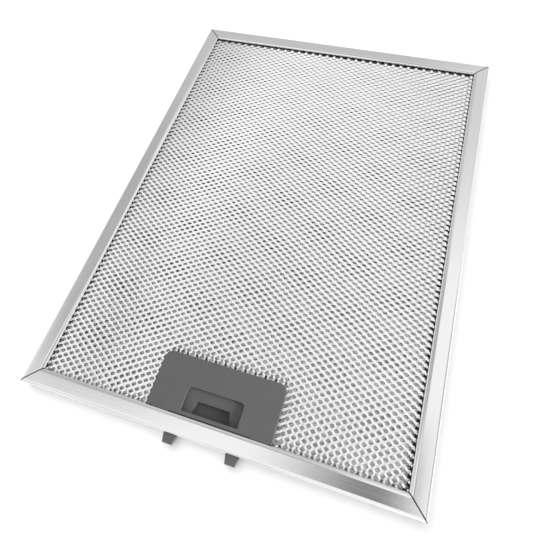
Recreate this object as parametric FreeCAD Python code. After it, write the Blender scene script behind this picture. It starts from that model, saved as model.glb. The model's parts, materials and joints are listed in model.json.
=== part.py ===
import FreeCAD, Part
import math
import os
from FreeCAD import Vector

# A cooker hood grease filter, in millimetres. It lies on its motor side with the cooking side up,
# the latch towards -Y, and the origin under the middle of the whole, pegs included.

# Frame: one aluminium strip, rolled to a channel with hemmed edges and folded round the mesh
frame_width = 250.0
frame_length = 340.0
frame_depth = 10.0
flange_width = 11.3
frame_sheet = 0.6
frame_bend_radius = 2.2
flange_roll_radius = 4.0
flange_roll_angle = 30.0
hem_gap = 1.2
hem_return = 3.5
corner_fold_radius = 1.0
mitre_gap = 0.4
mitre_stop = 1.2

# Mesh: two expanded screens with inner layers between them, gripped by the hems
mesh_edge_gap = 1.0
screen_depth = 1.8
opening_width = 6.42
opening_length = 4.25
screen_strand_width = 2.1
layer_strand_pitch = 11.0
layer_strand_width = 5.0
crest_drop = 0.2
border_cover = 1.0
bay_border = 2.5

# Latch: how far its middle lies from the frame's
latch_offset = -1.8

# Handle plate: the moulding that shows, with the finger window, staked to the housing behind it
plate_recess = 0.4
plate_corner_radius = 5.0
plate_edge_chamfer = 0.5
plate_lap = 3.5
hem_clearance = 0.3
window_bar = 2.2
window_corner_radius = 2.5
post_bay = 9.3
post_inset = 4.5
post_width = 4.0
stake_width = 2.6
stake_clearance = 0.1

# Slider: the finger pocket and the two pegs
latch_travel = 5.2
travel_margin = 1.8
slider_side_clearance = 0.3
slider_play = 0.2
slider_wall = 1.4
slider_skin = 1.2
slider_bridge = 3.6
slider_tail = 4.2
pocket_front_width = 24.8
pocket_rear_width = 20.6
pocket_length = 7.4
pocket_floor = 0.8
pocket_margin = 5.6
face_drop = 1.2
face_margin = 1.0
peg_pitch = 39.0
peg_root_width = 8.6
peg_tip_width = 6.0
peg_height = 3.0
peg_ramp = 1.2
peg_stub = 0.5
peg_hole_clearance = 0.3

# Springs: they lie in sockets of the slider and push it forward from the housing's rear wall
spring_wire = 0.4
spring_turns = 7
spring_turn_steps = 8
spring_clearance = 0.2
spring_socket = 10.5
spigot_length = 2.5

# Housing: the tray in which the slider runs
housing_recess = 0.4
housing_wall = 1.2
bay_clearance = 0.3

# Strands: they run along the diagonals of the openings
strand_angle = math.degrees(math.atan2(opening_length, opening_width))
screen_strand_pitch = opening_width * opening_length / math.hypot(opening_width, opening_length)

# Heights
hem_depth = 2 * frame_sheet + hem_gap
mesh_bottom = hem_depth
mesh_top = frame_depth - hem_depth
layer_names = ("rear_layer", "middle_layer", "front_layer")
layer_depth = (mesh_top - mesh_bottom - 2 * screen_depth) / len(layer_names)
plate_top = frame_depth - plate_recess
housing_bottom = housing_recess
slider_bottom = mesh_bottom + slider_play
slider_top = mesh_top - slider_play
peg_bottom = (frame_depth - peg_height) / 2
peg_top = peg_bottom + peg_height
spring_diameter = slider_top - slider_bottom - slider_skin - 2 * spring_clearance
spring_height = slider_bottom + spring_clearance + spring_diameter / 2
spigot_width = (spring_diameter - 2 * spring_wire - 2 * spring_clearance) / math.sqrt(2)

# Places along the filter
peg_reach = latch_travel + peg_stub
front_face = (peg_reach - frame_length) / 2
rear_face = front_face + frame_length
slider_front = front_face + frame_sheet + slider_play
plate_front = front_face + flange_width + hem_clearance
window_front = plate_front + window_bar
pocket_rear = window_front + pocket_length
window_rear = pocket_rear + latch_travel + travel_margin
face_rear = window_rear + face_margin
slider_rear = face_rear + slider_tail
spring_front = slider_rear - spring_socket
spring_rear = slider_rear + latch_travel + travel_margin
housing_rear = spring_rear + housing_wall
bay_rear = housing_rear + bay_clearance
plate_rear = bay_rear + plate_lap
post_rows = (plate_front + post_inset, housing_rear - post_inset)

# Places across the filter: the frame's from its middle, the latch's from the latch's middle
frame_side = frame_width / 2
window_side = pocket_front_width / 2 + pocket_margin
face_side = window_side + face_margin
socket_side = spring_diameter / 2 + spring_clearance
spring_side = face_side + slider_wall + socket_side
peg_side = peg_pitch / 2
slider_side = max(spring_side + socket_side, peg_side + peg_root_width / 2) + slider_wall
guide_side = slider_side + slider_side_clearance
guide_outer = guide_side + housing_wall
bay_side = guide_outer + post_bay
plate_side = bay_side + plate_lap
post_side = guide_outer + post_bay / 2


def block(left, right, front, rear, bottom, top):
    corner = Vector(left, front, bottom)
    return Part.makeBox(right - left, rear - front, top - bottom, corner)


def prism(points, bottom, top):
    """A plan outline raised from one height to another."""
    ring = [Vector(x, y, bottom) for x, y in points]
    return Part.Face(Part.makePolygon(ring + ring[:1])).extrude(Vector(0, 0, top - bottom))


def bar(section, left, right):
    """A section across the filter, as places along it and heights, drawn out from left to right."""
    ring = [Vector(left, y, z) for y, z in section]
    return Part.Face(Part.makePolygon(ring + ring[:1])).extrude(Vector(right - left, 0, 0))


def square_post(x, y, width, bottom, top):
    half = width / 2
    return block(x - half, x + half, y - half, y + half, bottom, top)


def square_spigot(x, front, rear):
    """A spigot that locates one end of a spring."""
    half = spigot_width / 2
    return block(x - half, x + half, front, rear, spring_height - half, spring_height + half)


def upright_edges(shape, y):
    """A block's upright edges at one place along the filter."""
    def stands(edge):
        ends = [vertex.Point for vertex in edge.Vertexes]
        return ends[0].sub(ends[-1]).cross(Vector(0, 0, 1)).Length < Part.Precision.confusion()
    return [e for e in shape.Edges if stands(e) and abs(e.CenterOfMass.y - y) < Part.Precision.confusion()]


def channel_profile():
    """The strip's section on the front rail: a web and two flanges, rolled in and hemmed back inside."""
    roll = math.radians(flange_roll_angle)
    nose = (hem_depth - flange_roll_radius * (1 - math.cos(roll))) / (1 + math.cos(roll))
    hem_start = flange_width - nose
    hem_end = hem_start - hem_return
    roll_start = hem_start - (flange_roll_radius - nose) * math.sin(roll)
    bend_middle = frame_bend_radius * (1 - math.sqrt(0.5))

    def half(level, up):
        """The outside of one flange, from the hem's end to the web."""
        def at(inward, depth):
            return Vector(0, front_face + inward, level + up * depth)

        def rolled(angle):
            across = flange_roll_radius * math.sin(angle)
            return at(roll_start + across, flange_roll_radius * (1 - math.cos(angle)))

        return [
            Part.LineSegment(at(hem_end, hem_depth), at(hem_start, hem_depth)),
            Part.Arc(at(hem_start, hem_depth), at(flange_width, hem_depth - nose), rolled(roll)),
            Part.Arc(rolled(roll), rolled(roll / 2), rolled(0)),
            Part.LineSegment(rolled(0), at(frame_bend_radius, 0)),
            Part.Arc(at(frame_bend_radius, 0), at(bend_middle, bend_middle), at(0, frame_bend_radius)),
        ]

    web_top = Vector(0, front_face, frame_depth - frame_bend_radius)
    web = Part.LineSegment(web_top, Vector(0, front_face, frame_bend_radius))
    lines = half(frame_depth, -1) + [web] + half(0, 1)[::-1]
    outside = Part.Wire([line.toShape() for line in lines])
    return outside.makeOffset2D(-frame_sheet, fill=True, openResult=True)


def corner_cut(cut, x, y):
    """A cut drawn at the origin for the corner at +X +Y, turned and moved to one corner of the frame."""
    cut.rotate(Vector(0, 0, 0), Vector(0, 0, 1), math.degrees(math.atan2(y, x) - math.atan2(1, 1)))
    cut.translate(Vector(x * frame_side, front_face if y < 0 else rear_face, 0))
    return cut


def fold_round():
    """What the fold's radius takes off a sharp corner."""
    radius = corner_fold_radius
    bottom, top = -mitre_gap, frame_depth + mitre_gap
    corner = block(-radius, mitre_gap, -radius, mitre_gap, bottom, top)
    return corner.cut(Part.makeCylinder(radius, top - bottom, Vector(-radius, -radius, bottom)))


def mitre_slit(stop):
    """A slit along a corner's diagonal, through both flanges, from inside the hems to its stop."""
    diagonal = math.sqrt(2)
    inner = (flange_width + mitre_gap) * diagonal
    half = mitre_gap / 2
    slit = block(-inner, -stop * diagonal, -half, half, -mitre_gap, frame_depth + mitre_gap)
    slit.rotate(Vector(0, 0, 0), Vector(0, 0, 1), math.degrees(math.atan2(1, 1)))
    return slit


def make_frame():
    """The channel swept round the mesh, folded at its corners, with two holes for the pegs."""
    corners = [(1, -1), (1, 1), (-1, 1), (-1, -1)]
    start = Vector(0, front_face, 0)
    turns = [Vector(x * frame_side, front_face if y < 0 else rear_face, 0) for x, y in corners]
    path = Part.makePolygon([start] + turns + [start])
    right_corners = 1
    ring = path.makePipeShell([channel_profile().OuterWire], True, False, right_corners)

    # The web runs on round three corners. The strip's ends meet at the fourth, where the slit runs out.
    closing_corner = (-1, 1)
    cuts = []
    for x, y in corners:
        stop = -mitre_gap if (x, y) == closing_corner else mitre_stop
        cuts.append(corner_cut(mitre_slit(stop), x, y))
        cuts.append(corner_cut(fold_round(), x, y))
    hole_side = peg_root_width / 2 + peg_hole_clearance
    for middle in (latch_offset - peg_side, latch_offset + peg_side):
        cuts.append(block(
            middle - hole_side, middle + hole_side, front_face - peg_hole_clearance, slider_front,
            peg_bottom - peg_hole_clearance, peg_top + peg_hole_clearance))
    return ring.cut(cuts)


def bayed_outline(inset, bay_margin):
    """The mesh's plan at one inset from the frame's outside, with the bay for the latch at its front."""
    side = frame_side - inset
    front = front_face + inset
    rear = rear_face - inset
    bay_left = latch_offset - bay_side - bay_margin
    bay_right = latch_offset + bay_side + bay_margin
    end = bay_rear + bay_margin
    return [
        (-side, front), (bay_left, front), (bay_left, end), (bay_right, end), (bay_right, front),
        (side, front), (side, rear), (-side, rear),
    ]


def strand_sheet(base, crest, pitch, width, lean):
    """A screen or layer: a flat border with slanted strands across its opening, all running one way."""
    bottom, top = min(base, crest), max(base, crest)
    sheet = prism(bayed_outline(frame_sheet + mesh_edge_gap, 0), bottom, top)
    opening = prism(bayed_outline(flange_width - border_cover, bay_border), bottom, top)

    reach = math.hypot(frame_width, frame_length) / 2
    ridge = crest - math.copysign(crest_drop, crest - base)
    strand = bar([(-width / 2, base), (width / 2, base), (width / 2, ridge)], -reach, reach)
    middle = Vector(0, (front_face + rear_face) / 2, 0)
    strands = []
    rows = int(reach / pitch)
    for row in range(-rows, rows):
        copy = strand.copy()
        copy.translate(Vector(0, row * pitch + pitch / 2, 0))
        copy.rotate(Vector(0, 0, 0), Vector(0, 0, 1), lean)
        copy.translate(middle)
        strands.append(copy)
    crossing = opening.common(Part.makeCompound(strands))
    return sheet.cut(opening).multiFuse(crossing.Solids).removeSplitter()


def plate_outline(bottom, top):
    """The handle plate's plan, rounded at its rear corners. The housing repeats it."""
    outline = block(-plate_side, plate_side, plate_front, plate_rear, bottom, top)
    return outline.makeFillet(plate_corner_radius, upright_edges(outline, plate_rear))


def post_places():
    return [(x, y) for x in (-post_side, post_side) for y in post_rows]


def make_handle_plate():
    """The plate with its finger window, on four posts that reach through the mesh's bay."""
    plate = plate_outline(mesh_top, plate_top)
    rim = [e for e in plate.Edges if e.BoundBox.ZMin > mesh_top and e.CenterOfMass.y > plate_front]
    plate = plate.makeChamfer(plate_edge_chamfer, rim)
    window = block(-window_side, window_side, window_front, window_rear, mesh_top, plate_top)
    plate = plate.cut(window.makeFillet(window_corner_radius, upright_edges(window, window_rear)))
    posts = [square_post(x, y, post_width, mesh_bottom, mesh_top) for x, y in post_places()]
    stakes = [square_post(x, y, stake_width, housing_bottom, mesh_bottom) for x, y in post_places()]
    return plate.fuse(posts + stakes).removeSplitter()


def make_peg(middle):
    """One peg: tapered to its tip, with a ramp below that slips it over the hood's edge."""
    root, tip = peg_root_width / 2, peg_tip_width / 2
    end = front_face - peg_reach
    plan = [
        (middle - root, slider_front), (middle - root, front_face), (middle - tip, end),
        (middle + tip, end), (middle + root, front_face), (middle + root, slider_front),
    ]
    ramp = [(front_face, peg_bottom), (end, peg_bottom), (end, peg_bottom + peg_ramp)]
    return prism(plan, peg_bottom, peg_top).cut(bar(ramp, middle - root, middle + root))


def face_height(y):
    """The height of the slider's sloped face at one place along the filter."""
    return slider_top - face_drop * (face_rear - y) / (face_rear - window_front)


def make_latch_slider():
    """The slider: a sloped face with the finger pocket, two arms with pegs and two spring sockets."""
    body = block(-slider_side, slider_side, slider_front, slider_rear, slider_bottom, slider_top)
    arm_side = peg_side - peg_root_width / 2 - slider_wall
    arm_end = window_front - slider_bridge
    gap = block(-arm_side, arm_side, slider_front, arm_end, slider_bottom, slider_top)

    slope = [(window_front, slider_top), (window_front, face_height(window_front)), (face_rear, slider_top)]
    face = bar(slope, -face_side, face_side)
    front, rear = pocket_front_width / 2, pocket_rear_width / 2
    plan = [(-front, window_front), (front, window_front), (rear, pocket_rear), (-rear, pocket_rear)]
    pocket = prism(plan, slider_bottom + pocket_floor, slider_top)

    hollow_front = pocket_rear + slider_wall
    hollow_rear = slider_rear - slider_wall
    hollow_top = face_height(hollow_front) - slider_skin
    hollow = block(-face_side, face_side, hollow_front, hollow_rear, slider_bottom, hollow_top)
    cuts = [gap, face, pocket, hollow]
    adds = []
    for side in (-1, 1):
        x = side * spring_side
        cuts.append(block(
            x - socket_side, x + socket_side, spring_front, slider_rear,
            slider_bottom, spring_height + socket_side))
        adds.append(square_spigot(x, spring_front, spring_front + spigot_length))
        adds.append(make_peg(side * peg_side))
    return body.cut(cuts).fuse(adds).removeSplitter()


def make_spring(x):
    """A compression spring of square wire, from its socket in the slider to the housing's rear wall."""
    radius = (spring_diameter - spring_wire) / 2
    half_wire = spring_wire / 2
    first = spring_front + spring_clearance + half_wire
    last = spring_rear - spring_clearance - half_wire
    steps = spring_turns * spring_turn_steps
    sections = []
    for step in range(steps + 1):
        turn = 2 * math.pi * step / spring_turn_steps
        y = first + (last - first) * step / steps
        corners = []
        for outward, along in ((-1, -1), (1, -1), (1, 1), (-1, 1)):
            reach = radius + outward * half_wire
            across = x + reach * math.cos(turn)
            height = spring_height + reach * math.sin(turn)
            corners.append(Vector(across, y + along * half_wire, height))
        sections.append(Part.makePolygon(corners + corners[:1]))
    solid, ruled = True, True
    return Part.makeLoft(sections, solid, ruled)


def make_latch_housing():
    """The tray: a floor as large as the handle plate, two guide walls and a rear wall for the springs."""
    floor = plate_outline(housing_bottom, mesh_bottom)
    walls = block(-guide_outer, guide_outer, plate_front, housing_rear, mesh_bottom, mesh_top)
    run = block(-guide_side, guide_side, plate_front, spring_rear, mesh_bottom, mesh_top)
    spigot_front = spring_rear - spigot_length
    spigots = [square_spigot(x, spigot_front, spring_rear) for x in (-spring_side, spring_side)]
    hole = stake_width + 2 * stake_clearance
    holes = [square_post(x, y, hole, housing_bottom, mesh_bottom) for x, y in post_places()]
    return floor.fuse([walls.cut(run)] + spigots).cut(holes).removeSplitter()


def at_latch(shape):
    """A latch piece, drawn about the middle of the latch, at its place in the frame."""
    shape.translate(Vector(latch_offset, 0, 0))
    return shape


nodes = {
    "frame": make_frame(),
    "rear_screen": strand_sheet(
        mesh_bottom + screen_depth, mesh_bottom, screen_strand_pitch, screen_strand_width, -strand_angle),
    "front_screen": strand_sheet(
        mesh_top - screen_depth, mesh_top, screen_strand_pitch, screen_strand_width, -strand_angle),
    "handle_plate": at_latch(make_handle_plate()),
    "latch_slider": at_latch(make_latch_slider()),
    "latch_spring_left": at_latch(make_spring(-spring_side)),
    "latch_spring_right": at_latch(make_spring(spring_side)),
    "latch_housing": at_latch(make_latch_housing()),
}
for index, name in enumerate(layer_names):
    base = mesh_bottom + screen_depth + index * layer_depth
    lean = strand_angle if index % 2 == 0 else -strand_angle
    nodes[name] = strand_sheet(base, base + layer_depth, layer_strand_pitch, layer_strand_width, lean)

os.makedirs("parts", exist_ok=True)
for name, shape in nodes.items():
    shape.exportStep("parts/" + name + ".step")
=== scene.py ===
import json
import math

import bmesh
import bpy
from mathutils import Matrix, Quaternion, Vector, noise


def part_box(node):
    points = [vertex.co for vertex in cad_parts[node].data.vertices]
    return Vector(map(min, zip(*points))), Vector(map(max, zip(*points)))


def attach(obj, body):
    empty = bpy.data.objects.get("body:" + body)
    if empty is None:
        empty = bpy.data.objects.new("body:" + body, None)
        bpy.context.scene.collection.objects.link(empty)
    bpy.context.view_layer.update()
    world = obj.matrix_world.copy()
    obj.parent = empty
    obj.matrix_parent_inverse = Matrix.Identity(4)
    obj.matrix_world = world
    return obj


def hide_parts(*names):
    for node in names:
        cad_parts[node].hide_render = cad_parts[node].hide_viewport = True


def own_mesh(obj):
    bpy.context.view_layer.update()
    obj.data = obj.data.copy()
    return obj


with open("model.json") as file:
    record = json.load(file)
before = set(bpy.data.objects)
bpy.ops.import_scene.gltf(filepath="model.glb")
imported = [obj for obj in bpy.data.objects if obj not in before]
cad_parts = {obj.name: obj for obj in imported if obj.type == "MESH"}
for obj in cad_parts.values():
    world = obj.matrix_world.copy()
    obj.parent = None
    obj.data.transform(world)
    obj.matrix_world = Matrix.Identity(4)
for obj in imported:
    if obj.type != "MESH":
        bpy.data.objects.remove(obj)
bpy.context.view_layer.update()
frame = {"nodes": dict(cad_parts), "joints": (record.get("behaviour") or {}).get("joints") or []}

# Frame
# One aluminium strip, brushed lengthwise, rolled to a channel with its edges hemmed back inside.
# It is notched, folded round the mesh and closed at one corner; each mitre's shade is painted as a
# thin dark line.
frame_low, frame_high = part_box("frame")
weld_distance = 1e-6
flat_angle = math.radians(1)
edge_crease = math.radians(32)
streak_width, streak_length = 0.0011, 0.09
scratch_width, scratch_length, scratch_depth = 0.00016, 0.03, 0.38e-5
ripple_scale, ripple_depth = 28.0, 1.5e-4
# Painted shade along each mitre: full within the first distance, gone by the second, in this tone
seam_half, seam_edge, painted_seam_shade = 0.00038, 0.00060, 0.05
rail_dark, rail_light, rail_tint = 0.81, 0.91, 0.006
rail_roughness, streak_roughness = 0.10, 0.11


class Wire:
    """A socket of a node tree. Arithmetic on wires adds Math nodes, and add() any other node."""

    def __init__(self, tree, socket=None):
        self.tree = tree
        self.socket = socket

    def add(self, kind, settings=None, inlets=None, outlet=0):
        node = self.tree.nodes.new(kind)
        for name, value in (settings or {}).items():
            setattr(node, name, value)
        for name, value in (inlets or {}).items():
            if isinstance(value, Wire):
                self.tree.links.new(value.socket, node.inputs[name])
            else:
                node.inputs[name].default_value = value
        return Wire(self.tree, node.outputs[outlet] if node.outputs else None)

    def math(self, operation, first, second=0.0):
        return self.add("ShaderNodeMath", {"operation": operation}, {0: first, 1: second})

    def __add__(self, other):
        return self.math("ADD", self, other)

    def __radd__(self, other):
        return self.math("ADD", other, self)

    def __sub__(self, other):
        return self.math("SUBTRACT", self, other)

    def __rsub__(self, other):
        return self.math("SUBTRACT", other, self)

    def __mul__(self, other):
        return self.math("MULTIPLY", self, other)

    def __rmul__(self, other):
        return self.math("MULTIPLY", other, self)

    def __lt__(self, other):
        return self.math("LESS_THAN", self, other)

    def __abs__(self):
        return self.math("ABSOLUTE", self)


def new_finish(name):
    """An empty material, and a wire that starts its nodes."""
    material = bpy.data.materials.new(name)
    material.use_nodes = True
    material.node_tree.nodes.clear()
    return material, Wire(material.node_tree)


def grey(level, blue=0.0):
    return (level, level, level + blue, 1.0)


def between(wire, share, dark, light):
    """A colour between two others."""
    return wire.add(
        "ShaderNodeMix", {"data_type": "RGBA"}, {0: share, 6: dark, 7: light}, outlet=2)


def split(wire, vector):
    """The three parts of a vector."""
    return [wire.add("ShaderNodeSeparateXYZ", None, {0: vector}, outlet=axis) for axis in "XYZ"]


def welded_copy(node):
    """A node's triangles joined to one skin, with its flat faces made whole."""
    bm = bmesh.new()
    bm.from_mesh(frame["nodes"][node].data)
    bmesh.ops.remove_doubles(bm, verts=bm.verts, dist=weld_distance)
    bmesh.ops.dissolve_limit(bm, angle_limit=flat_angle, verts=bm.verts, edges=bm.edges)
    return bm


def new_piece(name, bm, material, crease=edge_crease):
    """A mesh as an object of the scene, smooth but for its creases."""
    mesh = bpy.data.meshes.new(name)
    bm.to_mesh(mesh)
    bm.free()
    mesh.materials.append(material)
    mesh.shade_smooth()
    mesh.set_sharp_from_angle(angle=crease)
    piece = bpy.data.objects.new(name, mesh)
    bpy.context.scene.collection.objects.link(piece)
    flats = piece.modifiers.new("level_flats", "WEIGHTED_NORMAL")
    flats.keep_sharp = True
    return piece


brushed_aluminium, wire = new_finish("brushed_aluminium")
place = wire.add("ShaderNodeTexCoord", outlet="Object")
across, along, _ = split(wire, place)
to_side = frame_high.x - abs(across)
to_end = wire.math("MINIMUM", along - frame_low.y, frame_high.y - along)
side_rail = to_side < to_end


def along_rails(width, length):
    """Noise drawn out along each rail."""
    crosswise = (1 / length, 1 / width, 1 / width)
    lengthwise = (1 / width, 1 / length, 1 / width)
    stretched = [
        wire.add("ShaderNodeVectorMath", {"operation": "MULTIPLY"}, {0: place, 1: stretch})
        for stretch in (crosswise, lengthwise)
    ]
    drawn_out = wire.add(
        "ShaderNodeMix", {"data_type": "VECTOR"},
        {0: side_rail, 4: stretched[0], 5: stretched[1]}, outlet=1)
    return wire.add(
        "ShaderNodeTexNoise", None,
        {"Vector": drawn_out, "Scale": 1.0, "Detail": 3.0, "Roughness": 0.6})


streaks = along_rails(streak_width, streak_length)
scratches = along_rails(scratch_width, scratch_length)
ripple = wire.add(
    "ShaderNodeTexNoise", None, {"Vector": place, "Scale": ripple_scale, "Detail": 1.0})
rippled = wire.add(
    "ShaderNodeBump", None,
    {"Height": ripple, "Strength": 1.0, "Distance": ripple_depth}, outlet="Normal")
brushed = wire.add(
    "ShaderNodeBump", None,
    {"Height": scratches, "Strength": 1.0, "Distance": scratch_depth, "Normal": rippled},
    outlet="Normal")
# Painted shade: a dark line along each mitre, where shade falls in the gap
from_seam = wire.add(
    "ShaderNodeMapRange", None,
    {"Value": abs(to_side - to_end), "From Min": seam_half, "From Max": seam_edge})
bare = between(wire, streaks, grey(rail_dark, rail_tint), grey(rail_light, rail_tint))
shader = wire.add("ShaderNodeBsdfPrincipled", None, {
    "Base Color": between(wire, from_seam, grey(painted_seam_shade), bare),
    "Metallic": 1.0,
    "Roughness": rail_roughness + streak_roughness * streaks,
    "Normal": brushed,
})
wire.add("ShaderNodeOutputMaterial", None, {"Surface": shader})

frame_strip = new_piece("frame_strip", welded_copy("frame"), brushed_aluminium)
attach(frame_strip, "filter")
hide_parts("frame")

# Expanded screens and inner layers
# Aluminium foil slit in staggered rows and pulled open, so that each opening is a hexagon
# between strands that stand at a slant. The hems of the frame grip the edges of the whole stack.
flange_width = 0.0113
mouth_low = frame_low + Vector((flange_width, flange_width, 0))
mouth_high = frame_high - Vector((flange_width, flange_width, 0))
plate_low, plate_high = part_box("handle_plate")
hem_grip_across, hem_grip_along = 0.0025, 0.0016
plate_tuck = 0.0015
pull_drift, pull_length = 0.0006, 0.05
strand_scatter, scatter_length = 0.00012, 0.005
fold_crease = math.radians(12)
# The strands drift in the same way on every run
drift_seed = 5
noise.seed_set(drift_seed)
# A sheet is pulled open less at its left edge, and fully from this share of the way to its middle
left_pull, slack_share = 0.5, 0.72


def in_mouth(x, y):
    """True where the mesh lies in the frame's mouth, and not in the bay under the handle plate."""
    across_in = mouth_low.x - hem_grip_across < x < mouth_high.x + hem_grip_across
    along_in = mouth_low.y - hem_grip_along < y < mouth_high.y + hem_grip_along
    across_bay = plate_low.x + plate_tuck < x < plate_high.x - plate_tuck
    in_bay = across_bay and y < plate_high.y - plate_tuck
    return across_in and along_in and not in_bay


def expanded_sheet(node, pitch_across, pitch_along, knuckle, strand, bond, foil, rise, turn):
    """The sheet in a node's place: a hexagon an opening, inset to strands and raised to a slant."""
    low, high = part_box(node)
    bm = bmesh.new()
    half_knuckle, half_along = knuckle / 2, pitch_along / 2
    point = pitch_across / 2 - half_knuckle
    outline = [
        (-point, 0), (-half_knuckle, -half_along), (half_knuckle, -half_along),
        (point, 0), (half_knuckle, half_along), (-half_knuckle, half_along),
    ]
    bm.faces.new([bm.verts.new((x, y, 0)) for x, y in outline])

    # The staggered neighbour, and then both repeated over the whole mouth
    twin = bmesh.ops.duplicate(bm, geom=bm.verts[:] + bm.edges[:] + bm.faces[:])
    twin_verts = [item for item in twin["geom"] if isinstance(item, bmesh.types.BMVert)]
    bmesh.ops.translate(bm, verts=twin_verts, vec=(pitch_across / 2, pitch_along / 2, 0))
    half_size = (mouth_high - mouth_low) / 2
    cosine, sine = abs(math.cos(turn)), abs(math.sin(turn))
    columns = math.ceil((half_size.x * cosine + half_size.y * sine) / pitch_across) + 1
    rows = math.ceil((half_size.x * sine + half_size.y * cosine) / pitch_along) + 1
    corner_cell = (-columns * pitch_across, -rows * pitch_along, 0)
    bmesh.ops.translate(bm, verts=bm.verts, vec=corner_cell)
    for step, count in (((pitch_across, 0, 0), columns), ((0, pitch_along, 0), rows)):
        bmesh.ops.spin(
            bm, geom=bm.verts[:] + bm.edges[:] + bm.faces[:], cent=(0, 0, 0), axis=(0, 0, 1),
            dvec=step, angle=0, steps=2 * count, use_duplicate=True)
    cell_weld = pitch_along / 100
    bmesh.ops.remove_doubles(bm, verts=bm.verts, dist=cell_weld)
    bmesh.ops.recalc_face_normals(bm, faces=bm.faces)

    centre = (mouth_low + mouth_high) / 2
    placing = Matrix.Translation((centre.x, centre.y, 0)) @ Matrix.Rotation(turn, 4, "Z")
    outside = []
    for cell in bm.faces:
        middle = placing @ cell.calc_center_median()
        if not in_mouth(middle.x, middle.y):
            outside.append(cell)
    bmesh.ops.delete(bm, geom=outside, context="FACES")

    openings = bm.faces[:]
    bmesh.ops.inset_individual(bm, faces=openings, thickness=strand / 2, use_even_offset=True)
    half_opening = half_along - bond / 2
    squeeze = half_opening / (half_along - strand / 2)
    for opening in openings:
        middle = opening.calc_center_median()
        pull = min(1, left_pull + (1 - left_pull) * (1 + middle.x / half_size.x) / slack_share)
        for corner in opening.verts:
            ahead = (middle.y - corner.co.y) * squeeze
            corner.co.y = middle.y - ahead
            corner.co.z = ahead / half_opening * rise * pull
    bmesh.ops.delete(bm, geom=openings, context="FACES_ONLY")
    bmesh.ops.transform(bm, matrix=placing, verts=bm.verts)
    bmesh.ops.solidify(bm, geom=bm.faces[:], thickness=foil)

    heights = [v.co.z for v in bm.verts]
    lift = (low.z + high.z - min(heights) - max(heights)) / 2
    for v in bm.verts:
        v.co.z += lift
        drift = pull_drift * noise.noise_vector(v.co / pull_length)
        drift += strand_scatter * noise.noise_vector(v.co / scatter_length)
        v.co.x += drift.x
        v.co.y += drift.y
    return bm


foil_tint, patch_scale, patch_roughness = 0.004, 620.0, 0.14
patch_low, patch_high = 0.40, 0.60
# The tone in which the shade of the right and rear hems is painted on the foil
hem_shade_tone = 0.04


def drawn_foil(name, tones, metal, roughness, crinkle, crinkle_depth, painted_shade_reach):
    """Patchy foil, crinkled by the drawing, with the shade of the right and rear hems painted on
    it.
    """
    material, wire = new_finish(name)
    place = wire.add("ShaderNodeTexCoord", outlet="Object")
    patches = wire.add(
        "ShaderNodeTexNoise", None, {"Vector": place, "Scale": patch_scale, "Detail": 2.0})
    mottle = wire.add(
        "ShaderNodeMapRange", None,
        {"Value": patches, "From Min": patch_low, "From Max": patch_high})
    marks = wire.add(
        "ShaderNodeTexNoise", None, {"Vector": place, "Scale": 1 / crinkle, "Detail": 2.0})
    marked = wire.add(
        "ShaderNodeBump", None,
        {"Height": marks, "Strength": 1.0, "Distance": crinkle_depth}, outlet="Normal")
    across, along, _ = split(wire, place)
    # Painted shade: dark near the right and rear hems, clear further out
    to_hem = wire.math("MINIMUM", mouth_high.x - across, mouth_high.y - along)
    out_of_painted_shade = wire.add(
        "ShaderNodeMapRange", None,
        {"Value": to_hem, "From Min": painted_shade_reach / 2, "From Max": painted_shade_reach})
    dark, light = [grey(tone, foil_tint) for tone in tones]
    bare = between(wire, mottle, dark, light)
    shader = wire.add("ShaderNodeBsdfPrincipled", None, {
        "Base Color": between(wire, out_of_painted_shade, grey(hem_shade_tone), bare),
        "Metallic": metal,
        "Roughness": roughness + patch_roughness * patches,
        "Normal": marked,
    })
    wire.add("ShaderNodeOutputMaterial", None, {"Surface": shader})
    return material


# Painted shade of the hems: on the screens only under the hems, and on the duller layers also a
# little way out of them
bright_foil = drawn_foil(
    "bright_foil", tones=(0.91, 0.97), metal=1.0, roughness=0.19,
    crinkle=0.0009, crinkle_depth=6e-5, painted_shade_reach=0.00001)
dull_foil = drawn_foil(
    "dull_foil", tones=(0.50, 0.84), metal=0.5, roughness=0.26,
    crinkle=0.0008, crinkle_depth=1.2e-4, painted_shade_reach=0.0020)
screen_cell = {
    "pitch_across": 0.00642, "pitch_along": 0.00425, "knuckle": 0.0018,
    "strand": 0.0010, "bond": 0.0018, "foil": 0.00030,
}
layer_cell = {
    "pitch_across": 0.0072, "pitch_along": 0.0048, "knuckle": 0.0011,
    "strand": 0.0016, "bond": 0.0021, "foil": 0.00016,
}
screen_rise, layer_rise = 0.00062, 0.00018
lengthwise_turn, crosswise_turn = 0.0, math.radians(90)
sheets = {
    "rear_screen": (bright_foil, screen_cell, -screen_rise, lengthwise_turn),
    "rear_layer": (dull_foil, layer_cell, layer_rise, lengthwise_turn),
    "middle_layer": (dull_foil, layer_cell, layer_rise, crosswise_turn),
    "front_layer": (dull_foil, layer_cell, -layer_rise, lengthwise_turn),
    "front_screen": (bright_foil, screen_cell, screen_rise, lengthwise_turn),
}
for node, (finish, cell, rise, turn) in sheets.items():
    bm = expanded_sheet(node, rise=rise, turn=turn, **cell)
    sheet = new_piece(node + "_sheet", bm, finish, fold_crease)
    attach(sheet, "filter")
    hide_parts(node)

# Latch mouldings: housing, slider and handle plate
# Matte grey plastic, injection moulded with a fine spark-eroded grain and soft edges.
# The plate's posts are staked to the housing through the mesh, and the slider runs between them.
slider_low, slider_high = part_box("latch_slider")
edge_softness = 0.00032
sharp_angle = math.radians(35)
pit_scale, pit_depth, pit_strength = 3600.0, 4e-5, 0.6
flow_scale = 90.0
plastic_dark, plastic_light, plastic_tint = 0.127, 0.143, 0.003
plastic_roughness, pit_roughness = 0.48, 0.14
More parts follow.
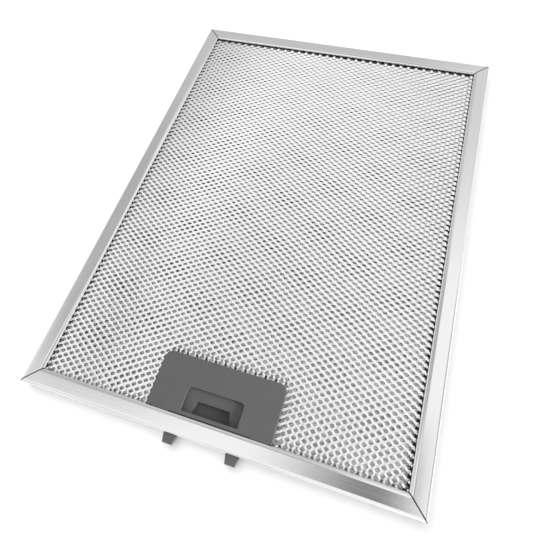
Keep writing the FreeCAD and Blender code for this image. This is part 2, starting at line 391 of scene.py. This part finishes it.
# The tone in which the shade deep in the slider's pocket is painted
pocket_shade_tone = 0.075


def moulding(node):
    """A node's skin with its sharp edges rounded."""
    bm = welded_copy(node)
    sharp = [e for e in bm.edges if len(e.link_faces) == 2 and e.calc_face_angle() > sharp_angle]
    bmesh.ops.bevel(
        bm, geom=sharp, offset=edge_softness, affect="EDGES", segments=2, profile=0.5, material=-1,
        clamp_overlap=True)
    return bm


def moulded_grey(name, painted_shade_heights=None):
    """Grained grey plastic. Shade is painted dark on it below some height, but not on the pegs."""
    material, wire = new_finish(name)
    place = wire.add("ShaderNodeTexCoord", outlet="Object")
    pits = wire.add(
        "ShaderNodeTexNoise", None, {"Vector": place, "Scale": pit_scale, "Detail": 2.0})
    flow = wire.add(
        "ShaderNodeTexNoise", None, {"Vector": place, "Scale": flow_scale, "Detail": 2.0})
    grained = wire.add(
        "ShaderNodeBump", None,
        {"Height": pits, "Strength": pit_strength, "Distance": pit_depth}, outlet="Normal")
    colour = between(
        wire, flow, grey(plastic_dark, plastic_tint), grey(plastic_light, plastic_tint))
    # Painted shade: the slider is darker below a height, where its pocket lies in shade, but not on
    # the pegs
    if painted_shade_heights:
        _, along, height = split(wire, place)
        full_shade, no_shade = painted_shade_heights
        above_shade = wire.add(
            "ShaderNodeMapRange", None,
            {"Value": height, "From Min": full_shade, "From Max": no_shade})
        out_of_painted_shade = wire.math("MAXIMUM", above_shade, along < frame_low.y)
        colour = between(wire, out_of_painted_shade, grey(pocket_shade_tone), colour)
    shader = wire.add("ShaderNodeBsdfPrincipled", None, {
        "Base Color": colour,
        "Roughness": plastic_roughness + pit_roughness * pits,
        "Specular IOR Level": 0.5,
        "Normal": grained,
    })
    wire.add("ShaderNodeOutputMaterial", None, {"Surface": shader})
    return material


grey_plastic = moulded_grey("grey_plastic")
slider_plastic = moulded_grey(
    "slider_plastic", painted_shade_heights=((slider_low.z + slider_high.z) / 2, slider_high.z))
mouldings = {
    "latch_housing": ("filter", grey_plastic),
    "latch_slider": ("latch", slider_plastic),
    "handle_plate": ("filter", grey_plastic),
}
for node, (body, finish) in mouldings.items():
    piece = new_piece(node + "_moulding", moulding(node), finish)
    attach(piece, body)
    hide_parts(node)

# Latch springs
# Two compression springs of drawn steel wire, wound in a close helix. They sit in the slider's
# sockets and press on the housing's rear wall. Here they are built at full length only.
spring_turns, turn_steps, wire_sides = 7, 24, 8
spring_wire = 0.0004
steel_dark, steel_light = 0.48, 0.60
steel_roughness, mark_roughness, mark_scale = 0.22, 0.14, 2600.0
slide = next(joint for joint in frame["joints"] if joint["name"] == "latch_slide")

spring_steel, wire = new_finish("spring_steel")
place = wire.add("ShaderNodeTexCoord", outlet="Object")
die_marks = wire.add(
    "ShaderNodeTexNoise", None, {"Vector": place, "Scale": mark_scale, "Detail": 2.0})
shader = wire.add("ShaderNodeBsdfPrincipled", None, {
    "Base Color": between(wire, die_marks, grey(steel_dark), grey(steel_light)),
    "Metallic": 1.0,
    "Roughness": steel_roughness + mark_roughness * die_marks,
})
wire.add("ShaderNodeOutputMaterial", None, {"Surface": shader})

for node in ("latch_spring_left", "latch_spring_right"):
    low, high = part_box(node)
    middle = (low + high) / 2
    coil_radius = (high.x - low.x - spring_wire) / 2
    length = high.y - low.y - spring_wire
    bm = bmesh.new()
    bmesh.ops.create_circle(bm, cap_ends=True, segments=wire_sides, radius=spring_wire / 2)
    start = Vector((middle.x + coil_radius, low.y + spring_wire / 2, middle.z))
    bmesh.ops.translate(bm, verts=bm.verts, vec=start)
    steps = spring_turns * turn_steps
    bmesh.ops.spin(
        bm, geom=bm.verts[:] + bm.edges[:] + bm.faces[:], cent=middle, axis=(0, 1, 0),
        dvec=(0, length / steps, 0), angle=2 * math.pi * spring_turns, steps=steps,
        use_merge=False)
    bmesh.ops.recalc_face_normals(bm, faces=bm.faces)
    coil = new_piece(node + "_coil", bm, spring_steel)
    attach(coil, "filter")
    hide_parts(node)
    kept_share = 1 - slide["range_m"][1] / (high.y - low.y)
    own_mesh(coil)

# Studio
# A white floor that keeps the soft shadow, and a bright room with the dark areas the rails mirror.
# One lamp stands behind, one at the right spares the floor, and one lights the floor alone.
floor_reach, floor_tone, floor_glow = 6.0, 0.80, 0.12
ceiling = 1.06
diffuse_share = 0.42
white = grey(1.0)

floor_white, wire = new_finish("floor_white")
lit = wire.add("ShaderNodeBsdfDiffuse", None, {"Color": grey(floor_tone)})
seen = wire.add("ShaderNodeLightPath", outlet="Is Camera Ray")
glossy = wire.add("ShaderNodeLightPath", outlet="Is Glossy Ray")
passed = wire.add("ShaderNodeLightPath", outlet="Is Transmission Ray")
shown = wire.math("MINIMUM", seen + glossy + passed, 1.0)
glow = wire.add("ShaderNodeEmission", None, {"Color": white, "Strength": floor_glow})
both = wire.add("ShaderNodeAddShader", None, {0: lit, 1: glow})
surface = wire.add("ShaderNodeMixShader", None, {0: shown, 1: lit, 2: both})
wire.add("ShaderNodeOutputMaterial", None, {"Surface": surface})

bm = bmesh.new()
bmesh.ops.create_grid(bm, x_segments=1, y_segments=1, size=floor_reach)
floor = new_piece("floor", bm, floor_white)

world = bpy.data.worlds.new("studio")
bpy.context.scene.world = world
world.use_nodes = True
world.node_tree.nodes.clear()
wire = Wire(world.node_tree)
# A place in the room is given by the direction to it, as parts of a length of 1
towards = wire.add("ShaderNodeTexCoord", outlet="Generated")
right, back, up = split(wire, towards)
front, left = 0 - back, 0 - right


def fade(value, start, end):
    """From 0 to 1 as the value goes from start to end, which may be the lower of the two."""
    rising = value.add(
        "ShaderNodeMapRange", {"interpolation_type": "SMOOTHSTEP"},
        {"Value": value, "From Min": min(start, end), "From Max": max(start, end)})
    return rising if start < end else 1 - rising


def zone(*edges):
    """A part of the room: 1 where all its fades are at their end, and 0 where one is not begun."""
    return math.prod(fade(*edge) for edge in edges)


# Each dark area takes a share of the light away, and each gain gives the rear a share of it back
rear_dimming, far_back_ease = 0.42, 0.3
left_glow, right_glow = 0.06, 1.2
dark_areas = {
    "beside_camera": (0.89, zone(
        (right, -0.13, 0.18), (right, 0.228, 0.205), (back, -0.30, -0.15), (back, 0.16, 0.05))),
    "right_gap": (0.46, zone(
        (right, 0.46, 0.58), (up, 0.20, 0.40), (back, -0.45, 0.10), (back, 0.55, 0.36))),
    "overhead": (0.58, zone(
        (right, -0.38, -0.24), (right, 0.14, 0.06), (back, 0.10, 0.18), (back, 0.58, 0.42))),
    "far_front": (0.62, fade(front, 0.87, 0.96)),
    "left_gap": (0.28, zone((left, 0.24, 0.52), (left, 0.66, 0.59), (back, -0.14, 0.0))),
    "left_back": (0.38, (1 - far_back_ease * fade(back, 0.45, 0.70)) * zone(
        (left, 0.20, 0.42), (left, 0.66, 0.59), (back, -0.05, 0.14))),
    "front_left": (0.26, zone((left, 0.30, 0.50), (front, 0.40, 0.70))),
    "low_left": (0.13, zone((left, 0.59, 0.66), (up, 0.62, 0.42))),
}
rear_gains = {
    "behind_right": (0.14, zone((right, 0.0, 0.18), (right, 0.38, 0.28))),
    "far_right": (0.40, fade(right, 0.50, 0.62)),
    "high_left": (0.28, zone((left, 0.45, 0.58), (up, 0.35, 0.50))),
}
rear_loss = rear_dimming - sum(gain * area for gain, area in rear_gains.values())
rear = 1 - rear_loss * fade(back, 0.40, 0.74)
dimmed = math.prod(1 - loss * area for loss, area in dark_areas.values())
left_panel = left_glow * zone(
    (left, 0.59, 0.66), (up, 0.15, 0.45), (back, 0.0, 0.2), (back, 0.60, 0.40))
right_panel = right_glow * zone((right, 0.80, 0.92), (up, 0.30, 0.15))
light = ceiling * (wire.math("MINIMUM", dimmed, rear) + left_panel) + right_panel

seen = wire.add("ShaderNodeLightPath", outlet="Is Camera Ray")
glossy = wire.add("ShaderNodeLightPath", outlet="Is Glossy Ray")
shown_light = light * (diffuse_share + (1 - diffuse_share) * glossy)
background = wire.add(
    "ShaderNodeBackground", None, {"Color": white, "Strength": seen + (1 - seen) * shown_light})
wire.add("ShaderNodeOutputWorld", None, {"Surface": background})

lit_pieces = {}
for state in ("INCLUDE", "EXCLUDE"):
    lit_pieces[state] = bpy.data.collections.new("floor_" + state.lower())
    lit_pieces[state].objects.link(floor)
    lit_pieces[state].collection_objects[0].light_linking.link_state = state
floor_alone, all_but_floor = lit_pieces["INCLUDE"], lit_pieces["EXCLUDE"]
sky_angle = math.radians(70)
lamps = {
    "rear_lamp": ("AREA", {"size": 0.70, "energy": 3.5}, (-0.75, 0.55, 0.72), None),
    "side_lamp": ("AREA", {"size": 0.40, "energy": 12.5}, (0.90, -0.10, 0.30), all_but_floor),
    "floor_lamp": ("SUN", {"angle": sky_angle, "energy": 2.5}, (-0.20, 0.22, 1.0), floor_alone),
}
for name, (kind, settings, spot, receivers) in lamps.items():
    lamp_data = bpy.data.lights.new(name, kind)
    for setting, value in settings.items():
        setattr(lamp_data, setting, value)
    lamp = bpy.data.objects.new(name, lamp_data)
    bpy.context.scene.collection.objects.link(lamp)
    lamp.location = spot
    lamp.rotation_mode = "QUATERNION"
    lamp.rotation_quaternion = (-lamp.location).to_track_quat("-Z", "Y")
    lamp.visible_glossy = False
    lamp.light_linking.receiver_collection = receivers

# Camera
# It looks down from in front and to the right, close to the filter and with a wide lens,
# and leans to one side.
camera_place = (0.05701, -0.15588, 0.25633)
camera_aim = Vector((0.00451, -0.05271, 0.010))
camera_lean = math.radians(-10.524)
camera_data = bpy.data.cameras.new("camera")
camera_data.sensor_width = 36.0
camera_data.lens = 27.011
camera_data.clip_start = 0.01
camera = bpy.data.objects.new("camera", camera_data)
bpy.context.scene.collection.objects.link(camera)
camera.location = camera_place
look = (camera_aim - camera.location).to_track_quat("-Z", "Y")
camera.rotation_mode = "QUATERNION"
camera.rotation_quaternion = look @ Quaternion((0, 0, 1), camera_lean)
bpy.context.scene.camera = camera
bpy.context.scene.view_settings.view_transform = "Standard"
